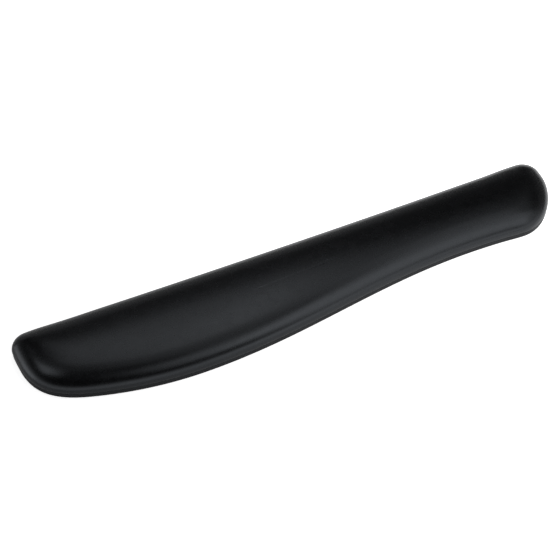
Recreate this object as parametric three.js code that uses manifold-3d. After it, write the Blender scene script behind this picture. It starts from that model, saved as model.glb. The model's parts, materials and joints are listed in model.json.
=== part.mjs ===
// Gel wrist rest for a full-size keyboard: a soft pad in a leatherette cover, bonded to a rigid base
// plate that stands on six rubber feet. Millimetres, +Z up, +X along the pad to the user's right,
// +Y away from the user. The origin is on the desk, under the middle of the bounding box.
import * as THREE from 'three';
import { mergeVertices } from 'three/addons/utils/BufferGeometryUtils.js';
import Module from 'manifold-3d';

const wasm = await Module();
wasm.setup();

// ---------------------------------------------------------------- driving dimensions
const LENGTH = 445;               // base plate, end to end
const DEPTH = 85.7;               // base plate, back edge to the crest of the front wave
const HEIGHT = 19;                // desk to the top of the crown

// The front edge is one cosine wave: deep under the left hand, shallow towards the right.
const WAVE_LENGTH = 460;
const WAVE_AMPLITUDE = 11.6;
const CREST_X = -96;              // where the front edge reaches furthest forward
const BACK_BOW = 2.1;             // the long back edge is pulled in this far at its middle
const BACK_CORNER = 14;           // radius of both back corners
const END_X = LENGTH / 2;

// Right end: the wave stops short of the end and a rounded corner takes over, up to a short straight
// end. Handles are shares of the corner's chord.
const RIGHT_CORNER = { width: 43, straightFrom: 19, waveHandle: 0.39, endHandle: 0.3 };
// Left end: a long sweep leaves the straight end, passes a point on the lobe and joins the crest.
const LEFT_SWEEP = { straightFrom: 24.2, endHandle: 0.46, lobeHandle: 0.43, crestHandle: 0.34 };
const LOBE = { x: -180, depth: 73, slope: -0.306 };
const ROUND_HANDLE = 0.39;        // a cubic with handles this long is close to a quarter circle

// Heights above the desk.
const FOOT_DROP = 0.8;            // feet stand out of the base plate by this much
const RIM_TOP = 5.0;              // top of the base plate
const BOND = 0.3;                 // thickness of the adhesive sheet, seen as the seam line
const SEAM_Z = RIM_TOP + BOND;    // underside of the cover
const BOARD_THICK = 2.2;
const BOARD_STEP = 1.8;           // clearance between the board's lower step and the cover's hem
const FOAM_TOP = 11.5;            // foam below, gel above

// The cover's section: a rounded shoulder and a wide, low crown that add up to the whole height.
const WALL_BULGE = 0.5;           // the side wall stands out this far past the base plate
const WALL_FOOT = 1.1;            // height of the wall's tight lower radius
const SHOULDER_WIDTH = 19.5;      // from the widest point of the wall inwards
const SHOULDER_POWER = 2.35;      // 2 is an ellipse, more is squarer
const CROWN_RISE = 4;             // share of the height that the crown gives
const CROWN_REACH = 41;           // distance in at which the crown is at its full height
const CROWN_STEPS = 3;
const CROWN_END = 0.85;           // the top ring stops at this share of the way to the spine
const SKIN = 1.0;
const SEAM_TUCK = 0.2;            // the cover's lower edge is drawn in this far past the rim
const HEM = 9;                    // width of the cover's turned-in edge under the board
const FIT_GAP = 0.3;              // clearance between soft pieces inside the cover

// Base plate.
const RIM_WALL = 2.4;
const FLOOR_THICK = 2.0;
const RIB_THICK = 1.6;
const RIB_PITCH = 44;

// Feet: bars of rubber with round ends, glued into seats in the base plate.
const FOOT = { length: 40, width: 9, thick: 1.7, inset: 12 };
const FOOT_SLACK = 0.25;

// ---------------------------------------------------------------- plan outline
const BACK_Y = DEPTH / 2;
const MEAN_DEPTH = DEPTH - WAVE_AMPLITUDE;
const waveNumber = 2 * Math.PI / WAVE_LENGTH;

const frontWave = (x) => new THREE.Vector2(
  x, BACK_Y - MEAN_DEPTH - WAVE_AMPLITUDE * Math.cos(waveNumber * (x - CREST_X)));
const frontSlope = (x) => WAVE_AMPLITUDE * waveNumber * Math.sin(waveNumber * (x - CREST_X));
const backEdge = (x) => new THREE.Vector2(x, BACK_Y - BACK_BOW * (1 - (x / END_X) ** 2));

// Points of a cubic from a to b that leaves along leave and arrives along arrive. Each handle is a
// share of the straight distance between the two points. The end point is left to the next stretch.
function sweep(a, leave, b, arrive, startShare, endShare, count) {
  const reach = a.distanceTo(b);
  const out = a.clone().addScaledVector(leave.clone().normalize(), reach * startShare);
  const into = b.clone().addScaledVector(arrive.clone().normalize(), -reach * endShare);
  return new THREE.CubicBezierCurve(a, out, into, b).getPoints(count).slice(0, -1);
}

function stretch(from, to, count, at) {
  return Array.from({ length: count }, (_, i) => at(from + (to - from) * i / count));
}

// The base plate's edge, counter-clockwise from the crest of the wave.
function plan() {
  const V = (x, y) => new THREE.Vector2(x, y);
  const [right, back, left, forward] = [V(1, 0), V(0, 1), V(-1, 0), V(0, -1)];
  const waveEnd = END_X - RIGHT_CORNER.width;
  const waveLeave = V(1, frontSlope(waveEnd));
  const rightFlat = V(END_X, BACK_Y - RIGHT_CORNER.straightFrom);
  const leftFlat = V(-END_X, BACK_Y - LEFT_SWEEP.straightFrom);
  const lobe = V(LOBE.x, BACK_Y - LOBE.depth);
  const lobeLeave = V(1, LOBE.slope);
  const { waveHandle, endHandle } = RIGHT_CORNER;
  const { lobeHandle, crestHandle } = LEFT_SWEEP;
  const cornerY = BACK_Y - BACK_CORNER;
  const cornerX = END_X - BACK_CORNER;
  const corner = (a, leave, b, arrive) => sweep(a, leave, b, arrive, ROUND_HANDLE, ROUND_HANDLE, 7);
  return [
    ...stretch(CREST_X, waveEnd, 22, frontWave),
    ...sweep(frontWave(waveEnd), waveLeave, rightFlat, back, waveHandle, endHandle, 11),
    rightFlat,
    ...corner(V(END_X, cornerY), back, backEdge(cornerX), left),
    ...stretch(cornerX, -cornerX, 16, backEdge),
    ...corner(backEdge(-cornerX), left, V(-END_X, cornerY), forward),
    V(-END_X, cornerY),
    ...sweep(leftFlat, forward, lobe, lobeLeave, LEFT_SWEEP.endHandle, lobeHandle, 12),
    ...sweep(lobe, lobeLeave, frontWave(CREST_X), right, crestHandle, crestHandle, 8),
  ];
}

// The outline moved inwards by a distance that is smaller than its tightest corner.
function inset(points, distance) {
  const n = points.length;
  return points.map((p, i) => {
    const along = points[(i + 1) % n].clone().sub(points[(i + n - 1) % n]).normalize();
    return new THREE.Vector2(p.x - along.y * distance, p.y + along.x * distance);
  });
}

// The outline is centred on the origin by its own box.
const OUTLINE = plan();
const boxCentre = new THREE.Box2().setFromPoints(OUTLINE).getCenter(new THREE.Vector2());
OUTLINE.forEach((p) => p.sub(boxCentre));

// Height of the front or back edge at x, from the outline's own points.
function edgeAt(x, front) {
  for (let i = 0; i < OUTLINE.length; i++) {
    const a = OUTLINE[i];
    const b = OUTLINE[(i + 1) % OUTLINE.length];
    const spans = front ? a.x <= x && x < b.x : b.x <= x && x < a.x;
    if (spans) {
      const t = (x - a.x) / (b.x - a.x);
      return { y: a.y + t * (b.y - a.y), slope: (b.y - a.y) / (b.x - a.x) };
    }
  }
  throw new Error(`no edge at x = ${x}`);
}

// ---------------------------------------------------------------- solids
function solidOf(geometry) {
  const bare = geometry.clone();
  bare.deleteAttribute('normal');
  bare.deleteAttribute('uv');
  const merged = mergeVertices(bare, 1e-4);
  return new wasm.Manifold(new wasm.Mesh({
    numProp: 3,
    vertProperties: merged.attributes.position.array,
    triVerts: new Uint32Array(merged.index.array),
  }));
}

function geometryOf(solid) {
  const mesh = solid.getMesh();
  const geometry = new THREE.BufferGeometry();
  geometry.setAttribute('position', new THREE.BufferAttribute(mesh.vertProperties, 3));
  geometry.setIndex(new THREE.BufferAttribute(mesh.triVerts, 1));
  geometry.computeVertexNormals();
  return geometry;
}

// A flat plate of the given outline between two heights.
function plate(points, bottom, top) {
  const shape = points instanceof THREE.Shape ? points : new THREE.Shape(points);
  const options = { depth: top - bottom, bevelEnabled: false, curveSegments: 8 };
  return new THREE.ExtrudeGeometry(shape, options).translate(0, 0, bottom);
}

// A skin over a stack of closed rings with the same number of points, the first and last one capped.
function loft(rings) {
  const n = rings[0].length;
  const positions = rings.flat().flatMap((p) => [p.x, p.y, p.z]);
  const index = [];
  for (let r = 0; r + 1 < rings.length; r++) {
    for (let i = 0; i < n; i++) {
      const j = (i + 1) % n;
      const [a, b, c, d] = [r * n + i, r * n + j, (r + 1) * n + j, (r + 1) * n + i];
      index.push(a, b, c, a, c, d);
    }
  }
  const cap = (ring, start, flip) => {
    for (const [a, b, c] of THREE.ShapeUtils.triangulateShape(ring, [])) {
      index.push(...(flip ? [start + a, start + c, start + b] : [start + a, start + b, start + c]));
    }
  };
  cap(rings[0], 0, true);
  cap(rings.at(-1), (rings.length - 1) * n, false);
  const geometry = new THREE.BufferGeometry();
  geometry.setAttribute('position', new THREE.Float32BufferAttribute(positions, 3));
  geometry.setIndex(index);
  geometry.computeVertexNormals();
  return geometry;
}

// ---------------------------------------------------------------- the pad's section
// Every outline point looks inwards at a spine that runs along the middle of the pad.
const SPINE_END = END_X - 34;     // where the spine stops, well inside both ends
const spine = OUTLINE.map((p) => {
  const x = THREE.MathUtils.clamp(p.x, -SPINE_END, SPINE_END);
  return new THREE.Vector2(x, (edgeAt(x, true).y + edgeAt(x, false).y) / 2);
});

// A ring that lies a distance in from the outline, at a height. From there it can be drawn further
// in, by a share of what is left of the way to the spine.
function ring(distance, z, toSpine = 0) {
  return OUTLINE.map((p, i) => {
    const inward = spine[i].clone().sub(p).normalize();
    const at = p.clone().addScaledVector(inward, distance).lerp(spine[i], toSpine);
    return new THREE.Vector3(at.x, at.y, z);
  });
}

// Height of a layer's surface at a distance in from the widest point of its side. Each soft layer
// follows the cover's outer face, moved in by its depth below that face.
const WALL_TOP = SEAM_Z + WALL_FOOT;

function heightAt(inwards, depth) {
  const shoulder = Math.min(inwards / (SHOULDER_WIDTH - depth), 1);
  const crown = Math.min(inwards / CROWN_REACH, 1);
  const bend = (1 - (1 - shoulder) ** SHOULDER_POWER) ** (1 / SHOULDER_POWER);
  const shoulderRise = HEIGHT - WALL_TOP - CROWN_RISE - depth;
  return WALL_TOP + shoulderRise * bend + CROWN_RISE * (1 - (1 - crown) ** 2);
}

// The shoulder is walked by an angle, from 0 at its widest point to a quarter turn where it ends.
const shoulderInwards = (angle, depth) => (SHOULDER_WIDTH - depth) * (1 - Math.cos(angle));

// The angle at which a layer's shoulder reaches a height, found by halving.
function angleAt(z, depth) {
  let [low, high] = [0, Math.PI / 2];
  while (high - low > 1e-6) {
    const middle = (low + high) / 2;
    if (heightAt(shoulderInwards(middle, depth), depth) < z) {
      low = middle;
    } else {
      high = middle;
    }
  }
  return low;
}

// Rings up a layer's shoulder between two angles.
function shoulderRings(depth, from, to, steps) {
  return Array.from({ length: steps + 1 }, (_, i) => {
    const inwards = shoulderInwards(from + (to - from) * i / steps, depth);
    return ring(depth - WALL_BULGE + inwards, heightAt(inwards, depth));
  });
}

// The shoulder from the given height upwards, and the crown above it.
function sectionRings(depth, from, steps) {
  const rings = shoulderRings(depth, angleAt(from, depth), Math.PI / 2, steps);
  for (let i = 1; i <= CROWN_STEPS; i++) {
    const share = i / CROWN_STEPS;
    const inwards = SHOULDER_WIDTH + (CROWN_REACH - SHOULDER_WIDTH) * share;
    rings.push(ring(SHOULDER_WIDTH - WALL_BULGE, heightAt(inwards, depth), CROWN_END * share));
  }
  return rings;
}

// The cover, lofted from its inner crown down, round the turned-in hem and back up the outside.
function coverSkin() {
  const hem = [
    ring(SKIN + SEAM_TUCK, SEAM_Z + SKIN),
    ring(HEM, SEAM_Z + SKIN),
    ring(HEM, SEAM_Z),
    ring(SEAM_TUCK, SEAM_Z),
  ];
  const inner = sectionRings(SKIN, WALL_TOP, 6).reverse();
  return loft([...inner, ...hem, ...sectionRings(0, WALL_TOP, 9)]);
}

const UNDER_COVER = SKIN + FIT_GAP;

function foamCore() {
  const low = angleAt(SEAM_Z + BOARD_THICK, UNDER_COVER);
  const high = angleAt(FOAM_TOP, UNDER_COVER);
  return loft(shoulderRings(UNDER_COVER, low, high, 3));
}

function gelPad() {
  return loft(sectionRings(UNDER_COVER, FOAM_TOP, 5));
}

// ---------------------------------------------------------------- flat pieces
function backingBoard() {
  const inCover = inset(OUTLINE, SKIN + SEAM_TUCK + FIT_GAP);
  const inHem = inset(OUTLINE, HEM + BOARD_STEP);
  const upper = solidOf(plate(inCover, SEAM_Z + SKIN, SEAM_Z + BOARD_THICK));
  const lower = solidOf(plate(inHem, SEAM_Z, SEAM_Z + SKIN));
  return geometryOf(upper.add(lower));
}

function adhesiveSheet() {
  return plate(inset(OUTLINE, SKIN + SEAM_TUCK), RIM_TOP, SEAM_Z);
}

// A bar with round ends, centred on the origin.
function stadium(length, width) {
  const half = (length - width) / 2;
  const shape = new THREE.Shape();
  shape.absarc(half, 0, width / 2, -Math.PI / 2, Math.PI / 2);
  shape.absarc(-half, 0, width / 2, Math.PI / 2, Math.PI * 1.5);
  return shape;
}

// Each foot lies along its edge, FOOT.inset in from it.
const FEET = [
  ['foot_front_left', -140, true],
  ['foot_front_centre', 10, true],
  ['foot_front_right', 168, true],
  ['foot_back_left', -172, false],
  ['foot_back_centre', 0, false],
  ['foot_back_right', 172, false],
].map(([name, x, front]) => {
  const edge = edgeAt(x, front);
  return { name, x, y: edge.y + (front ? FOOT.inset : -FOOT.inset), turn: Math.atan(edge.slope) };
});

function placed(geometry, { x, y, turn }) {
  return geometry.rotateZ(turn).translate(x, y, 0);
}

function basePlate() {
  const floorTop = FOOT_DROP + FLOOR_THICK;
  let body = solidOf(plate(OUTLINE, FOOT_DROP, RIM_TOP));
  let pocket = solidOf(plate(inset(OUTLINE, RIM_WALL), floorTop, RIM_TOP + 1));
  const ribCount = Math.floor(END_X / RIB_PITCH);
  for (let k = -ribCount; k <= ribCount; k++) {
    const rib = new THREE.BoxGeometry(RIB_THICK, 2 * DEPTH, 2 * RIM_TOP);
    pocket = pocket.subtract(solidOf(rib.translate(k * RIB_PITCH, 0, RIM_TOP)));
  }
  body = body.subtract(pocket);
  for (const foot of FEET) {
    const seat = stadium(FOOT.length + 2 * FOOT_SLACK, FOOT.width + 2 * FOOT_SLACK);
    body = body.subtract(solidOf(placed(plate(seat, 0, FOOT.thick), foot)));
  }
  return geometryOf(body);
}

// ---------------------------------------------------------------- the assembly
const finish = (color, roughness) => new THREE.MeshStandardMaterial({ color, roughness, metalness: 0 });
const LEATHERETTE = finish(0x121213, 0.3);
const MOULDED = finish(0x161617, 0.45);
const RUBBER = finish(0x202020, 0.9);
const GEL = finish(0x2c5f8a, 0.2);
const FOAM = finish(0x3a3a3c, 1.0);
const BOARD = finish(0x6b5a45, 0.8);
const TAPE = finish(0x101011, 0.7);

const wristRest = new THREE.Group();

function addPiece(name, geometry, material) {
  const mesh = new THREE.Mesh(geometry, material);
  mesh.name = name;
  wristRest.add(mesh);
}

addPiece('cover_skin', coverSkin(), LEATHERETTE);
addPiece('gel_pad', gelPad(), GEL);
addPiece('foam_core', foamCore(), FOAM);
addPiece('backing_board', backingBoard(), BOARD);
addPiece('adhesive_sheet', adhesiveSheet(), TAPE);
addPiece('base_plate', basePlate(), MOULDED);
for (const foot of FEET) {
  addPiece(foot.name, placed(plate(stadium(FOOT.length, FOOT.width), 0, FOOT.thick), foot), RUBBER);
}

export default wristRest;
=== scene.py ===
"""Looks for the gel wrist rest: fine surfaces, materials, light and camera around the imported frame.

Everything is in metres, in the frame of the CAD: +X along the pad, +Y away from the user, +Z up.
The pad has no seams or folds of its own, so its layers are lofted as fine rings that follow the
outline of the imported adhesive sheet.
"""

import json
import math

import bmesh
import bpy
import numpy as np
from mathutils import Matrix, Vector

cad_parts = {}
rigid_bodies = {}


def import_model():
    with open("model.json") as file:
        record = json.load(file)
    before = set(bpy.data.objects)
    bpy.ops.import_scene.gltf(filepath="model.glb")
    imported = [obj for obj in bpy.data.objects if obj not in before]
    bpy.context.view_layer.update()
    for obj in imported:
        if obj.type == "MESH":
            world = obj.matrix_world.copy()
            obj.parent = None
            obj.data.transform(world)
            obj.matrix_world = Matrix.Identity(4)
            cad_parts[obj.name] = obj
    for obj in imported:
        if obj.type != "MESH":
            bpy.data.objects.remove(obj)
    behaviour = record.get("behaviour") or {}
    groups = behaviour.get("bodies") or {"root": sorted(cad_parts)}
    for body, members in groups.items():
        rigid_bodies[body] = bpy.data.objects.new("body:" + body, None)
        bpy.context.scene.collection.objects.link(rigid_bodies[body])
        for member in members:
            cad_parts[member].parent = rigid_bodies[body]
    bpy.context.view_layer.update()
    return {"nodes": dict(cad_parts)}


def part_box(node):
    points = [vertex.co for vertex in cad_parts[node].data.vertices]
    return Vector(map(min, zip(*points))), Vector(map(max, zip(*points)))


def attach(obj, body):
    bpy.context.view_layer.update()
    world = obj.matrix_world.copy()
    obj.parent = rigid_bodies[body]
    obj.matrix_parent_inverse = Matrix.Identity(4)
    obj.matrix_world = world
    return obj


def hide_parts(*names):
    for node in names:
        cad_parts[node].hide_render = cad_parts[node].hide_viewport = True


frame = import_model()

MM = 0.001

# ------------------------------------------------------------------ sizes read from the frame
BASE_LOW, BASE_HIGH = (np.array(c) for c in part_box("base_plate"))
BOND_LOW, BOND_HIGH = (np.array(c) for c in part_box("adhesive_sheet"))
COVER_HIGH = np.array(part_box("cover_skin")[1])
BOARD_LOW, BOARD_HIGH = (np.array(c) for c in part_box("backing_board"))
FOAM_LOW, FOAM_HIGH = (np.array(c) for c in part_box("foam_core"))
FEET = sorted(name for name in frame["nodes"] if name.startswith("foot_"))

RIM_OUT = BASE_HIGH[0] - BOND_HIGH[0]      # the rim stands out past the adhesive sheet by this much
BULGE = COVER_HIGH[0] - BASE_HIGH[0]       # and the cover's wall stands out past the rim
SEAM_Z = BOND_HIGH[2]
TOP_Z = COVER_HIGH[2]

# ------------------------------------------------------------------ sizes of the fine shapes
RING_POINTS = 720                          # points round every ring of the pad and the base

SHOULDER_WIDTH = 19.5 * MM                 # the rounded shoulder, from the wall's widest point inwards
SHOULDER_POWER = 2.35                      # 2 is an ellipse, more is squarer
CROWN_RISE = 4.0 * MM                      # share of the height that the wide, low crown gives
CROWN_REACH = 41 * MM                      # distance in at which the crown is at its full height
WALL_FOOT = 1.1 * MM                       # the cover's tight lower radius, seam to widest point
WALL_Z = SEAM_Z + WALL_FOOT
SEAM_TUCK = 0.25 * MM                      # the cover's lower edge lies this far inside the rim
SKIN = 1.0 * MM
HEM = 9 * MM                               # width of the cover's turned-in edge
FIT_GAP = 0.3 * MM
UNDER_COVER = SKIN + FIT_GAP
BOARD_STEP = 1.8 * MM

LOFT_DEPTH = 8 * MM                        # rings keep the outline's exact offset down to here
SPINE_INSET = 30 * MM                      # the rings close on a spine that stops this far from the ends
SPINE_TURN = 20 * MM                       # outline points near the ends share the spine's last stretch
SPINE_SHARE = 0.97                         # the last ring stops just short of the spine

RIM_LOW_EDGE = 0.7 * MM                    # edge radii of the base plate
RIM_HIGH_EDGE = 0.35 * MM
RIM_WALL = 2.4 * MM
FLOOR_THICK = 2.0 * MM
POCKET_EDGE = 0.3 * MM
RIB_THICK = 1.6 * MM
RIB_PITCH = 44 * MM
PIN_MARK_RADIUS = 3 * MM                   # ejector-pin marks under the base plate
PIN_MARK_DEPTH = 0.12 * MM
FOOT_SLACK = 0.25 * MM
FOOT_LOW_EDGE = 0.5 * MM
FOOT_HIGH_EDGE = 0.1 * MM
FILM_EDGE = 0.05 * MM


# ------------------------------------------------------------------ the outline
def closed_spline(points):
    """The length of a closed cubic spline through the points, and a function that samples it."""
    ahead = np.roll(points, -1, 0)
    chord = np.linalg.norm(ahead - points, axis=1)
    chord_before = np.roll(chord, 1)
    slope = (ahead - points) / chord[:, None]
    matrix = np.diag(2 * (chord_before + chord))
    matrix += np.roll(np.diag(chord), 1, axis=1)
    matrix += np.roll(np.diag(chord_before), -1, axis=1)
    bend = np.linalg.solve(matrix, 6 * (slope - np.roll(slope, 1, 0)))
    bend_ahead = np.roll(bend, -1, 0)
    knots = np.concatenate([[0], np.cumsum(chord)])

    def sample(places):
        span = np.clip(np.searchsorted(knots, places, "right") - 1, 0, len(points) - 1)
        width = chord[span][:, None]
        done = (places - knots[span])[:, None]
        left = (knots[span + 1] - places)[:, None]
        curved = (bend[span] * left ** 3 + bend_ahead[span] * done ** 3) / (6 * width)
        start = points[span] / width - bend[span] * width / 6
        end = ahead[span] / width - bend_ahead[span] * width / 6
        return curved + start * left + end * done

    return knots[-1], sample


def spline_through(points, count):
    """A closed cubic spline through the points, as evenly weighted samples."""
    length, sample = closed_spline(points)
    fine = sample(np.linspace(0, length, 8 * count, endpoint=False))
    reach = np.concatenate([[0], np.cumsum(sample_weight(fine))])
    even = np.linspace(0, reach[-1], count, endpoint=False)
    return sample(np.interp(even, reach, np.linspace(0, length, len(reach))))


def sample_weight(curve, bend_length=20 * MM, window=17):
    """How closely the curve wants its samples: more where it bends, averaged over a window."""
    step = np.roll(curve, -1, 0) - curve
    length = np.linalg.norm(step, axis=1)
    heading = np.unwrap(np.arctan2(step[:, 1], step[:, 0]))
    bend = np.pad(np.abs(np.gradient(heading)) / length, window // 2, "wrap")
    return length * (1 + bend_length * np.convolve(bend, np.ones(window) / window, "valid"))


def normals_of(curve):
    """Unit normals of a closed counter-clockwise curve, pointing inwards."""
    along = np.roll(curve, -1, 0) - np.roll(curve, 1, 0)
    along /= np.linalg.norm(along, axis=1)[:, None]
    return np.stack([-along[:, 1], along[:, 0]], axis=1)


def rim_outline():
    """The base plate's edge as one smooth closed curve, from the adhesive sheet's outline."""
    sheet = frame["nodes"]["adhesive_sheet"].data
    corners = np.array([v.co for v in sheet.vertices])
    plan = np.unique(np.round(corners[:, :2], 6), axis=0)
    middle = (BOND_LOW + BOND_HIGH)[:2] / 2
    turn = np.arctan2(*(plan - middle).T[::-1])
    bond = spline_through(plan[np.argsort(turn)], RING_POINTS)
    return bond - normals_of(bond) * RIM_OUT


OUTLINE = rim_outline()
INWARD = normals_of(OUTLINE)


def middle_line(samples=400):
    """The pad's middle line between the front and back edges, as its x and its y values."""
    front = OUTLINE[INWARD[:, 1] > 0.2]
    back = OUTLINE[INWARD[:, 1] < -0.2]
    front = front[np.argsort(front[:, 0])]
    back = back[np.argsort(back[:, 0])]
    x = np.linspace(BASE_LOW[0] + SPINE_INSET, BASE_HIGH[0] - SPINE_INSET, samples)
    return x, (np.interp(x, *front.T) + np.interp(x, *back.T)) / 2


SPINE = middle_line()


def outline_gaps(points, measure, block=2000):
    """Runs measure on the distances from each point to every outline point, a block at a time."""
    parts = []
    for start in range(0, len(points), block):
        gaps = np.linalg.norm(points[start:start + block, None] - OUTLINE[None], axis=2)
        parts.append(measure(gaps))
    return np.concatenate(parts)


def exact_distance(points):
    """Distance in from the outline's nearest point."""
    return outline_gaps(points, lambda gaps: gaps.min(1))


def soft_distance(points, sharpness=6):
    """Distance in from the outline, rounded off where two stretches of the outline are equally near.

    It is the distance at which a straight edge would pull as hard as the whole outline does, where
    the pull of each bit of edge falls off with a power of its distance.
    """
    step = np.linalg.norm(np.roll(OUTLINE, -1, 0) - np.roll(OUTLINE, 1, 0), axis=1) / 2
    angle = np.linspace(-math.pi / 2, math.pi / 2, 2001)
    straight = np.sum(np.cos(angle) ** (sharpness - 2)) * (angle[1] - angle[0])
    return outline_gaps(
        points, lambda gaps: ((step / gaps ** sharpness).sum(1) / straight) ** (1 / (1 - sharpness)))


def spine_targets():
    """The point of the pad's middle line that each outline point looks at."""
    limit = BASE_HIGH[0] - SPINE_INSET - SPINE_TURN
    x = OUTLINE[:, 0]
    over = np.maximum(np.abs(x) - limit, 0)
    x = np.sign(x) * (np.minimum(np.abs(x), limit) + SPINE_TURN * (1 - np.exp(-over / SPINE_TURN)))
    return np.stack([x, np.interp(x, *SPINE)], axis=1)


# ------------------------------------------------------------------ the pad's section
def pad_z(distance, depth=0.0):
    """Height of the pad at a distance in from the rim, for the layer that lies depth inside it.

    A rounded shoulder and a wide low crown add up, so that the slope only ever falls off inwards.
    """
    inside = np.maximum(distance + BULGE - depth, 0)
    shoulder = np.clip(inside / (SHOULDER_WIDTH - depth), 0, 1)
    crown = np.clip(inside / CROWN_REACH, 0, 1)
    bend = (1 - (1 - shoulder) ** SHOULDER_POWER) ** (1 / SHOULDER_POWER)
    return WALL_Z + (TOP_Z - WALL_Z - CROWN_RISE - depth) * bend + CROWN_RISE * (1 - (1 - crown) ** 2)


def ring3(plan, z):
    """A ring of 3-D points from plan points and one height, or a height each."""
    return np.column_stack([plan, np.broadcast_to(z, len(plan))])


def side_rings(depth, low_z, high_z, count):
    """Rings up the side of a layer between two heights, evenly spaced along the section."""
    distance = depth - BULGE + (LOFT_DEPTH + BULGE - depth) * np.linspace(0, 1, 4000) ** 3
    z = pad_z(distance, depth)
    reach = np.concatenate([[0], np.cumsum(np.hypot(np.diff(distance), np.diff(z)))])
    start, end = np.interp([low_z, high_z], z, reach)
    at = np.interp(np.linspace(start, end, count), reach, distance)
    return [ring3(OUTLINE + INWARD * d, pad_z(d, depth)) for d in at]


def shoulder_rings(depth, low_z, count):
    """Rings up the shoulder from a height to the depth where the top takes over."""
    return side_rings(depth, low_z, pad_z(LOFT_DEPTH, depth), count)


def top_rings(depth, count):
    """Rings over the top, from the shoulder rings in to the spine."""
    edge = OUTLINE + INWARD * LOFT_DEPTH
    spine = spine_targets()
    rings = []
    for share in np.linspace(0, SPINE_SHARE, count + 1)[1:]:
        plan = edge + (spine - edge) * share
        hard, soft = exact_distance(plan), soft_distance(plan)
        mix = np.clip((hard - LOFT_DEPTH) / LOFT_DEPTH, 0, 1)
        mix = mix ** 2 * (3 - 2 * mix)
        rings.append(ring3(plan, pad_z(hard + (soft - hard) * mix, depth)))
    return rings


# ------------------------------------------------------------------ mesh helpers
def new_piece(name, mesh, nodes, material):
    """Adds a mesh as a piece that stands for the CAD nodes it replaces."""
    piece = bpy.data.objects.new(name, mesh)
    bpy.context.scene.collection.objects.link(piece)
    mesh.materials.append(material)
    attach(piece, "root")
    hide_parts(*nodes)
    return piece


def lofted(name, rings):
    """A closed mesh over a stack of rings with equal numbers of points, capped at both ends."""
    n = len(rings[0])
    here = np.arange(n)
    after = (here + 1) % n
    faces = []
    for r in range(len(rings) - 1):
        low, high = r * n, (r + 1) * n
        faces.extend(np.stack([low + here, low + after, high + after, high + here], axis=1).tolist())
    faces.append(here[::-1].tolist())
    faces.append((here + (len(rings) - 1) * n).tolist())
    mesh = bpy.data.meshes.new(name)
    mesh.from_pydata(np.concatenate(rings).tolist(), [], faces)
    work = bmesh.new()
    work.from_mesh(mesh)
    caps = [f for f in work.faces if len(f.verts) > 4]
    bmesh.ops.triangulate(work, faces=caps, quad_method="BEAUTY", ngon_method="BEAUTY")
    work.to_mesh(mesh)
    work.free()
    return mesh


def finished(mesh, sharp_degrees=40):
    """Smooth shading, with edges above an angle kept sharp."""
    mesh.shade_smooth()
    mesh.set_sharp_from_angle(angle=math.radians(sharp_degrees))
    return mesh


def weigh_normals(piece):
    """Keeps large flat faces flat beside rounded edges."""
    modifier = piece.modifiers.new("flat faces", "WEIGHTED_NORMAL")
    modifier.mode = "FACE_AREA"
    modifier.weight = 100
    modifier.keep_sharp = True


def carved(name, body, cutters):
    """The body mesh with every cutter mesh taken away."""
    scene_objects = bpy.context.scene.collection.objects
    work = bpy.data.objects.new(name + "_work", body)
    scene_objects.link(work)
    knives = []
    for cutter in cutters:
        knife = bpy.data.objects.new(name + "_knife", cutter)
        scene_objects.link(knife)
        knives.append(knife)
        modifier = work.modifiers.new("cut", "BOOLEAN")
        modifier.operation = "DIFFERENCE"
        modifier.solver = "EXACT"
        modifier.object = knife
    depsgraph = bpy.context.evaluated_depsgraph_get()
    result = bpy.data.meshes.new_from_object(work.evaluated_get(depsgraph))
    result.name = name
    for spare in [work, *knives]:
        bpy.data.objects.remove(spare)
    return result


def rounded_rings(outline, inward, low, high, low_edge, high_edge, steps=5):
    """Rings of a flat plate with rounded lower and upper edges."""
    rings = []
    for angle in np.linspace(0, math.pi / 2, steps):
        inwards = low_edge * (1 - math.sin(angle))
        rings.append(ring3(outline + inward * inwards, low + low_edge * (1 - math.cos(angle))))
    for angle in np.linspace(0, math.pi / 2, steps):
        inwards = high_edge * (1 - math.cos(angle))
        rings.append(ring3(outline + inward * inwards, high - high_edge * (1 - math.sin(angle))))
    return rings


def plate_mesh(name, inset, low, high, low_edge, high_edge):
    """A plate that follows the rim's outline, inset by a distance."""
    return lofted(name, rounded_rings(OUTLINE + INWARD * inset, INWARD, low, high, low_edge, high_edge))


def stadium(length, width, points=96):
    """A bar with round ends along X, centred on the origin, and its inward normals."""
    turn = np.linspace(-math.pi / 2, 3 * math.pi / 2, points, endpoint=False)
    normal = np.column_stack([np.cos(turn), np.sin(turn)])
    shift = np.where(turn <= math.pi / 2, 1, -1) * (length - width) / 2
    return normal * width / 2 + np.column_stack([shift, 0 * shift]), -normal


def turned(points, angle):
    """Plan points turned about the origin."""
    c, s = math.cos(angle), math.sin(angle)
    return points @ np.array([[c, s], [-s, c]])


def box_mesh(name, low, high):
    """A plain box, used only to cut with."""
    corners = np.array([[low[0], low[1]], [high[0], low[1]], [high[0], high[1]], [low[0], high[1]]])
    return lofted(name, [ring3(corners, low[2]), ring3(corners, high[2])])


def disc_mesh(name, centre, radius, low, high, points=48):
    """A flat disc, used only to cut with."""
    turn = np.linspace(0, 2 * math.pi, points, endpoint=False)
    plan = np.column_stack([np.cos(turn), np.sin(turn)]) * radius + centre
    return lofted(name, [ring3(plan, low), ring3(plan, high)])


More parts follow.
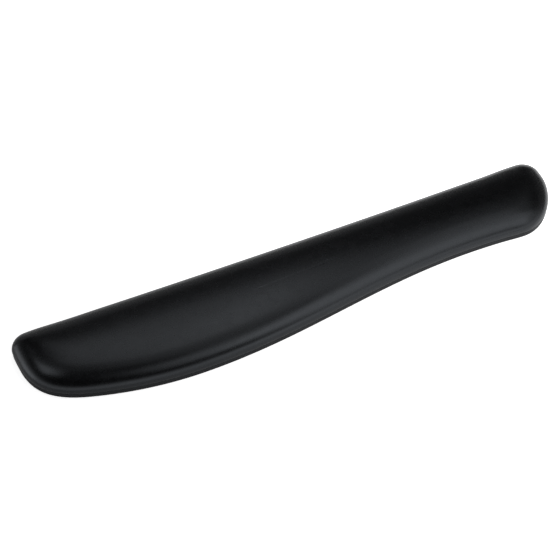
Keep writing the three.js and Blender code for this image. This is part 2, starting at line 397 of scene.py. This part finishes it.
# ------------------------------------------------------------------ base plate and feet
def foot_place(name):
    """Centre, turn, length and width of a foot, from its CAD node."""
    plan = np.array([v.co for v in frame["nodes"][name].data.vertices])[:, :2]
    plan = np.unique(np.round(plan, 6), axis=0)
    spread, axes = np.linalg.eigh(np.cov((plan - plan.mean(0)).T))
    along = axes[:, 1] * math.copysign(1, axes[0, 1])
    angle = math.atan2(along[1], along[0])
    local = turned(plan, -angle)
    size = local.max(0) - local.min(0)
    centre = turned(((local.max(0) + local.min(0)) / 2)[None], angle)[0]
    return centre, angle, size[0], size[1]


def foot_rings(name, grow, low, high, low_edge, high_edge):
    """Rings of a foot, or of its seat when it grows by the slack."""
    centre, angle, length, width = foot_place(name)
    outline, inward = stadium(length + 2 * grow, width + 2 * grow)
    outline = turned(outline, angle) + centre
    return rounded_rings(outline, turned(inward, angle), low, high, low_edge, high_edge)


def foot_mesh(name):
    """A rubber foot: a bar with round ends and a rounded lower edge."""
    low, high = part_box(name)
    rings = foot_rings(name, 0, low.z, high.z, FOOT_LOW_EDGE, FOOT_HIGH_EDGE)
    return finished(lofted("pad_" + name, rings))


def rib_positions():
    """Where the ribs of the base plate stand along X."""
    count = int(BASE_HIGH[0] / RIB_PITCH)
    return [k * RIB_PITCH for k in range(-count, count + 1)]


def base_mesh():
    """The base plate: rounded rim, ribbed pocket above, seats for the feet and pin marks below."""
    low, high = BASE_LOW[2], BASE_HIGH[2]
    body = plate_mesh("base_body", 0, low, high, RIM_LOW_EDGE, RIM_HIGH_EDGE)
    pocket = plate_mesh("pocket", RIM_WALL, low + FLOOR_THICK, high + MM, POCKET_EDGE, 0)
    ribs = [box_mesh("rib", (x - RIB_THICK / 2, BASE_LOW[1], 0), (x + RIB_THICK / 2, BASE_HIGH[1], TOP_Z))
            for x in rib_positions()]
    cutters = [carved("pocket_cells", pocket, ribs)]
    for name in FEET:
        foot_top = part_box(name)[1].z
        cutters.append(lofted("seat", foot_rings(name, FOOT_SLACK, -MM, foot_top, 0, POCKET_EDGE)))
    for x in rib_positions()[1::2]:
        centre = (x + RIB_PITCH / 2, np.interp(x + RIB_PITCH / 2, *SPINE))
        cutters.append(disc_mesh("pin_mark", centre, PIN_MARK_RADIUS, 0, low + PIN_MARK_DEPTH))
    return finished(carved("base_plate_rim", body, cutters), sharp_degrees=30)


# ------------------------------------------------------------------ the pad's layers
def foam_mesh():
    """The foam layer, with a flat underside and top."""
    return finished(lofted("foam", side_rings(UNDER_COVER, FOAM_LOW[2], FOAM_HIGH[2], count=8)))


def gel_mesh():
    """The gel layer, flat below and crowned above."""
    rings = shoulder_rings(UNDER_COVER, FOAM_HIGH[2], count=8) + top_rings(UNDER_COVER, count=16)
    return finished(lofted("gel", rings))


def board_mesh():
    """The board, with a step at its lower edge where the cover's hem is turned in."""
    step_z = SEAM_Z + SKIN
    inner = OUTLINE + INWARD * (HEM + BOARD_STEP)
    outer = OUTLINE + INWARD * (SKIN + SEAM_TUCK + FIT_GAP)
    rings = [ring3(inner, BOARD_LOW[2]), ring3(inner, step_z), ring3(outer, step_z),
             ring3(outer, BOARD_HIGH[2])]
    return finished(lofted("board", rings), sharp_degrees=30)


def film_mesh():
    """The adhesive film between the pad and the base plate."""
    film = plate_mesh("bond", RIM_OUT, BOND_LOW[2], BOND_HIGH[2], FILM_EDGE, FILM_EDGE)
    return finished(film, sharp_degrees=30)


def cover_mesh():
    """The cover: inner crown, turned-in hem, lower radius, shoulder and outer crown."""
    rings = top_rings(SKIN, count=12)[::-1] + shoulder_rings(SKIN, WALL_Z, count=10)[::-1]
    rings.append(ring3(OUTLINE + INWARD * (SKIN + SEAM_TUCK), SEAM_Z + SKIN))
    rings.append(ring3(OUTLINE + INWARD * HEM, SEAM_Z + SKIN))
    rings.append(ring3(OUTLINE + INWARD * HEM, SEAM_Z))
    for angle in np.linspace(math.pi / 2, 0, 7)[:-1]:
        inwards = -BULGE + (BULGE + SEAM_TUCK) * (1 - math.cos(angle))
        rings.append(ring3(OUTLINE + INWARD * inwards, WALL_Z - WALL_FOOT * math.sin(angle)))
    rings += shoulder_rings(0, WALL_Z, count=26) + top_rings(0, count=36)
    return finished(lofted("cover", rings))


# ------------------------------------------------------------------ material nodes
class Nodes:
    """Builds one material: every method adds a node and returns its output."""

    def __init__(self, name):
        self.material = bpy.data.materials.new(name)
        self.material.use_nodes = True
        self.tree = self.material.node_tree
        self.shader = self.tree.nodes["Principled BSDF"]
        self.place = self.tree.nodes.new("ShaderNodeTexCoord").outputs["Object"]

    def feed(self, socket, value):
        """Links an output to a socket, or sets a plain value."""
        if isinstance(value, bpy.types.NodeSocket):
            self.tree.links.new(value, socket)
        else:
            socket.default_value = value

    def set(self, **values):
        """Sets the shader's inputs; Base_Color stands for Base Color."""
        for name, value in values.items():
            self.feed(self.shader.inputs[name.replace("_", " ")], value)

    def node(self, kind, inputs, output=0, **settings):
        made = self.tree.nodes.new(kind)
        for name, value in settings.items():
            setattr(made, name, value)
        for name, value in inputs.items():
            self.feed(made.inputs[name], value)
        return made.outputs[output]

    def noise(self, size, detail=2.0, roughness=0.5, place=None):
        """Noise whose features are about size across, from 0 to 1."""
        inputs = {"Scale": 1 / size, "Detail": detail, "Roughness": roughness}
        return self.node("ShaderNodeTexNoise", {"Vector": place or self.place, **inputs})

    def cells(self, size, place=None):
        """Distance from the middle of the nearest cell, in a field of cells of about size across."""
        inputs = {"Vector": place or self.place, "Scale": 1 / size}
        return self.node("ShaderNodeTexVoronoi", inputs, "Distance")

    def ramp(self, value, low, high, to_low=0.0, to_high=1.0):
        """Maps low..high to to_low..to_high, clamped, with a soft start and end."""
        inputs = {"Value": value, "From Min": low, "From Max": high, "To Min": to_low, "To Max": to_high}
        return self.node("ShaderNodeMapRange", inputs, interpolation_type="SMOOTHSTEP")

    def math(self, operation, a, b):
        return self.node("ShaderNodeMath", {0: a, 1: b}, operation=operation)

    def blend(self, share, first, second):
        """Mixes two colours."""
        made = self.tree.nodes.new("ShaderNodeMix")
        made.data_type = "RGBA"
        for socket, value in zip((made.inputs[0], made.inputs[6], made.inputs[7]), (share, first, second)):
            self.feed(socket, value)
        return made.outputs[2]

    def bump(self, height, depth, before=None):
        """Relief of the given depth in metres, on top of an earlier one."""
        inputs = {"Height": height, "Distance": depth, "Strength": 1.0}
        if before is not None:
            inputs["Normal"] = before
        return self.node("ShaderNodeBump", inputs)


def grey(value, blue=1.08):
    """A dark neutral with a slightly cool cast, as a shader colour."""
    return (value, value, value * blue, 1.0)


COOL = (0.86, 0.92, 1.0, 1.0)              # a faint blue cast in what the black surfaces mirror


def leatherette():
    """Soft-touch leatherette: a satin black film with fine pebbled grain."""
    n = Nodes("leatherette")
    drift = n.node("ShaderNodeTexNoise", {"Vector": n.place, "Scale": 1 / (1.4 * MM)}, "Color")
    moved = n.node("ShaderNodeVectorMath", {0: drift, "Scale": 0.4 * MM}, operation="SCALE")
    warped = n.node("ShaderNodeVectorMath", {0: n.place, 1: moved})
    pebbles = n.ramp(n.cells(0.8 * MM, place=warped), 0.1, 0.75, 1.0, 0.0)
    pores = n.noise(0.25 * MM)
    stretch = n.noise(7 * MM)
    mottle = n.noise(1.6 * MM, 4.0, 0.6)
    taut = n.bump(stretch, 0.01 * MM)
    grain = n.bump(n.math("ADD", pebbles, n.math("MULTIPLY", pores, 0.15)), 0.0018 * MM, taut)
    n.set(
        Base_Color=n.blend(n.ramp(mottle, 0.3, 0.7), grey(0.0016), grey(0.0026)),
        Roughness=n.math("ADD", n.ramp(stretch, 0.25, 0.75, 0.245, 0.275),
                         n.math("MULTIPLY", mottle, 0.02)),
        Normal=grain,
        Specular_Tint=COOL,
        Specular_IOR_Level=0.54,
    )
    return n.material


def moulded_plastic():
    """Black moulded plastic with a fine spark-eroded texture, rubbed smoother on its edges."""
    n = Nodes("moulded_plastic")
    spark = n.noise(0.16 * MM, 3.0, 0.65)
    flow = n.noise(14 * MM, 2.0)
    edges = n.ramp(n.node("ShaderNodeNewGeometry", {}, "Pointiness"), 0.53, 0.62)
    facing = n.node("ShaderNodeSeparateXYZ", {"Vector": n.node("ShaderNodeNewGeometry", {}, "Normal")}, "Z")
    worn = n.math("MULTIPLY", edges, n.ramp(facing, -0.95, -0.7))    # not on the flat underside
    n.set(
        Base_Color=n.blend(worn, n.blend(flow, grey(0.003), grey(0.0045)), grey(0.009)),
        Roughness=n.math("SUBTRACT", n.ramp(flow, 0.3, 0.7, 0.42, 0.5), n.math("MULTIPLY", worn, 0.1)),
        Normal=n.bump(spark, 0.002 * MM),
        Specular_Tint=COOL,
        Specular_IOR_Level=0.36,
    )
    return n.material


def foot_rubber():
    """Matt black rubber with fine pores and a little dust."""
    n = Nodes("foot_rubber")
    pores = n.cells(0.5 * MM)
    dust = n.noise(3 * MM, 5.0, 0.65)
    n.set(
        Base_Color=n.blend(n.ramp(dust, 0.45, 0.8), grey(0.009, 1.0), grey(0.03, 0.95)),
        Roughness=n.ramp(dust, 0.3, 0.7, 0.72, 0.88),
        Normal=n.bump(n.ramp(pores, 0.05, 0.4), 0.02 * MM, n.bump(dust, 0.03 * MM)),
    )
    return n.material


def gel_material():
    """Clear-blue gel with clouds of fine bubbles."""
    n = Nodes("gel")
    clouds = n.noise(9 * MM, 3.0)
    bubbles = n.ramp(n.cells(1.1 * MM), 0.12, 0.2)
    n.set(
        Base_Color=n.blend(clouds, (0.03, 0.09, 0.18, 1), (0.07, 0.16, 0.27, 1)),
        Roughness=n.ramp(clouds, 0.3, 0.7, 0.12, 0.2),
        Normal=n.bump(bubbles, 0.05 * MM),
        Subsurface_Weight=0.35,
        Subsurface_Scale=4 * MM,
    )
    return n.material


def foam_material():
    """Dark open-cell foam, with painted shade in its pores."""
    n = Nodes("foam")
    pores = n.cells(0.9 * MM)
    walls = n.ramp(pores, 0.1, 0.45)
    shade = n.noise(6 * MM, 3.0)
    n.set(
        # painted shade: each pore is darker towards its middle
        Base_Color=n.blend(walls, grey(0.015), n.blend(shade, grey(0.045), grey(0.065))),
        Roughness=n.ramp(shade, 0.3, 0.7, 0.88, 0.97),
        Normal=n.bump(walls, 0.25 * MM),
    )
    return n.material


def board_material():
    """Pressed grey-brown fibreboard: short fibres in every direction."""
    n = Nodes("board")
    fibres = n.noise(1.2 * MM, 6.0, 0.7, place=n.node(
        "ShaderNodeMapping", {"Vector": n.place, "Scale": (0.25, 1.0, 1.0)}))
    flecks = n.ramp(n.noise(2.5 * MM, 2.0), 0.6, 0.72)
    brown = n.blend(fibres, (0.12, 0.085, 0.055, 1), (0.28, 0.21, 0.14, 1))
    n.set(
        Base_Color=n.blend(flecks, brown, (0.36, 0.30, 0.22, 1)),
        Roughness=n.ramp(fibres, 0.3, 0.7, 0.75, 0.9),
        Normal=n.bump(fibres, 0.08 * MM),
    )
    return n.material


def film_material():
    """Black adhesive film with a faint ripple."""
    n = Nodes("film")
    ripple = n.noise(2 * MM, 3.0)
    n.set(
        Base_Color=n.blend(ripple, grey(0.003), grey(0.006)),
        Roughness=n.ramp(ripple, 0.3, 0.7, 0.5, 0.65),
        Normal=n.bump(ripple, 0.02 * MM),
    )
    return n.material


def floor_material():
    """A plain white table that glows. Its glow is painted light, brighter to the right, with painted shade
    darkening it in the corner below the pad's rim, so the pad mirrors less of it there.
    """
    n = Nodes("floor")
    fine = n.noise(2 * MM, 3.0)
    across = n.node("ShaderNodeSeparateXYZ", {"Vector": n.place})
    # painted shade: ambient occlusion darkens the floor's glow near the pad
    ao_painted_shade = n.node("ShaderNodeAmbientOcclusion", {"Distance": CORNER_SHADE}, "AO")
    # painted light: the glow brightens from left to right
    side = n.ramp(across, -FLOOR_FADE, FLOOR_FADE, FLOOR_GLOW_LEFT, FLOOR_GLOW_RIGHT)
    mirrored = n.math("MULTIPLY", ao_painted_shade, side)
    seen = n.node("ShaderNodeLightPath", {}, "Is Camera Ray")
    n.set(
        Base_Color=n.blend(fine, (0.80, 0.80, 0.80, 1), (0.82, 0.82, 0.82, 1)),
        Roughness=0.9,
        Emission_Color=(1, 1, 1, 1),
        Emission_Strength=n.math("ADD", mirrored, n.math("MULTIPLY", seen, FLOOR_EXTRA_SEEN)),
    )
    return n.material


# ------------------------------------------------------------------ stage, light and camera
CAMERA_AZIMUTH = 205                       # seen from the front left, from 48 degrees above the desk
CAMERA_ELEVATION = 48
CAMERA_DISTANCE = 1.62
CAMERA_TARGET = Vector((-0.01, 0.018, 0))
CAMERA_LENS = 135.7

FLOOR_SIZE = 12.0
FLOOR_GLOW_LEFT = 0.05                     # the floor's own glow, painted light rising from left to right
FLOOR_GLOW_RIGHT = 0.9
FLOOR_FADE = 0.3                           # how far to either side the glow changes
FLOOR_EXTRA_SEEN = 0.75                    # added where the camera sees the floor itself
CORNER_SHADE = 28 * MM                     # painted shade: the floor's glow fades this near to the pad
# Radiance is relative to white: a sheet of paper in full light shows 1.
ROOM_FRONT = 0.9
ROOM_BACK = 0.14
ROOM_TURN = (-0.5, 0.0)                    # the back wall turns into the front one over these cosines
ROOM_TOP = (0.35, 0.7)                     # the walls go dark between these sines of the elevation
SOFTBOX_DISTANCE = 0.75
SOFTBOXES = {
    # name: (azimuth from +Y towards +X, elevation, width, height, radiance)
    "key": (118, 54, 0.6, 0.42, 1.0),
    "key_core": (125, 52, 0.3, 0.54, 0.5),
    "key_foot": (118, 32, 0.6, 0.12, 0.55),
    "top": (140, 78, 0.3, 0.2, 0.35),
    "top_front": (165, 72, 0.35, 0.3, 0.6),
    "back": (6, 57, 0.36, 0.25, 0.8),
    "back_right": (46, 60, 0.4, 0.2, 0.6),
    "back_up": (25, 75, 0.35, 0.25, 0.4),
    "back_low": (0, 15, 0.8, 0.35, 0.1),
    "left_high": (-62, 54, 0.25, 0.25, 1.25),
    "left_low": (-66, 10, 0.5, 0.24, 0.75),
    "right": (72, 48, 0.3, 0.25, 0.3),
    "front": (160, 28, 0.3, 0.25, 0.35),
    "front_left": (190, 30, 0.4, 0.3, 0.3),
    "front_right": (140, 18, 0.6, 0.3, 0.35),
}


def direction(azimuth, elevation):
    """Unit vector towards a compass direction, in degrees, with azimuth from +Y towards +X."""
    a, e = math.radians(azimuth), math.radians(elevation)
    return Vector((math.sin(a) * math.cos(e), math.cos(a) * math.cos(e), math.sin(e)))


def aimed(obj, location, towards):
    """Places an object and points its -Z axis along a direction."""
    bpy.context.scene.collection.objects.link(obj)
    obj.location = location
    obj.rotation_mode = "QUATERNION"
    obj.rotation_quaternion = towards.to_track_quat("-Z", "Y")


def softbox(name, azimuth, elevation, width, height, radiance):
    """A rectangular soft light that faces the pad."""
    light = bpy.data.lights.new(name, "AREA")
    light.shape = "RECTANGLE"
    light.size = width
    light.size_y = height
    light.energy = radiance * math.pi * width * height
    out = direction(azimuth, elevation)
    holder = bpy.data.objects.new(name, light)
    aimed(holder, out * SOFTBOX_DISTANCE, -out)
    holder.visible_camera = False


def studio_floor():
    mesh = bpy.data.meshes.new("floor")
    half = FLOOR_SIZE / 2
    mesh.from_pydata([(-half, -half, 0), (half, -half, 0), (half, half, 0), (-half, half, 0)], [],
                     [(0, 1, 2, 3)])
    mesh.materials.append(floor_material())
    floor = bpy.data.objects.new("floor", mesh)
    bpy.context.scene.collection.objects.link(floor)


def studio_room():
    """A room that is pale up to eye level, paler on the camera's side, and dark overhead."""
    world = bpy.data.worlds.new("world")
    bpy.context.scene.world = world
    world.use_nodes = True
    nodes, links = world.node_tree.nodes, world.node_tree.links
    place = nodes.new("ShaderNodeTexCoord").outputs["Generated"]

    def fade(value, low, high, start, end):
        """A soft step from start to end as the value goes from low to high."""
        step = nodes.new("ShaderNodeMapRange")
        step.interpolation_type = "SMOOTHSTEP"
        for name, number in {"From Min": low, "From Max": high, "To Min": start, "To Max": end}.items():
            step.inputs[name].default_value = number
        links.new(value, step.inputs["Value"])
        return step.outputs[0]

    facing = nodes.new("ShaderNodeVectorMath")
    facing.operation = "DOT_PRODUCT"
    facing.inputs[1].default_value = direction(CAMERA_AZIMUTH, 0)
    links.new(place, facing.inputs[0])
    height = nodes.new("ShaderNodeSeparateXYZ")
    links.new(place, height.inputs[0])
    walls = nodes.new("ShaderNodeMath")
    walls.operation = "MULTIPLY"
    links.new(fade(facing.outputs["Value"], *ROOM_TURN, ROOM_BACK, ROOM_FRONT), walls.inputs[0])
    links.new(fade(height.outputs["Z"], *ROOM_TOP, 1.0, 0.0), walls.inputs[1])
    links.new(walls.outputs[0], nodes["Background"].inputs["Strength"])
    nodes["Background"].inputs["Color"].default_value = (1, 1, 1, 1)


def studio_camera():
    camera = bpy.data.cameras.new("camera")
    camera.sensor_width = 36
    camera.lens = CAMERA_LENS
    out = direction(CAMERA_AZIMUTH, CAMERA_ELEVATION)
    holder = bpy.data.objects.new("camera", camera)
    aimed(holder, CAMERA_TARGET + out * CAMERA_DISTANCE, -out)
    bpy.context.scene.camera = holder


# ------------------------------------------------------------------ the pieces
new_piece("cover", cover_mesh(), ["cover_skin"], leatherette())
new_piece("gel", gel_mesh(), ["gel_pad"], gel_material())
new_piece("foam", foam_mesh(), ["foam_core"], foam_material())
new_piece("board", board_mesh(), ["backing_board"], board_material())
new_piece("bond_film", film_mesh(), ["adhesive_sheet"], film_material())
weigh_normals(new_piece("base", base_mesh(), ["base_plate"], moulded_plastic()))
rubber = foot_rubber()
for foot in FEET:
    weigh_normals(new_piece("pad_" + foot, foot_mesh(foot), [foot], rubber))

studio_floor()
studio_room()
for box_name, settings in SOFTBOXES.items():
    softbox(box_name, *settings)
studio_camera()
bpy.context.scene.view_settings.view_transform = "Standard"
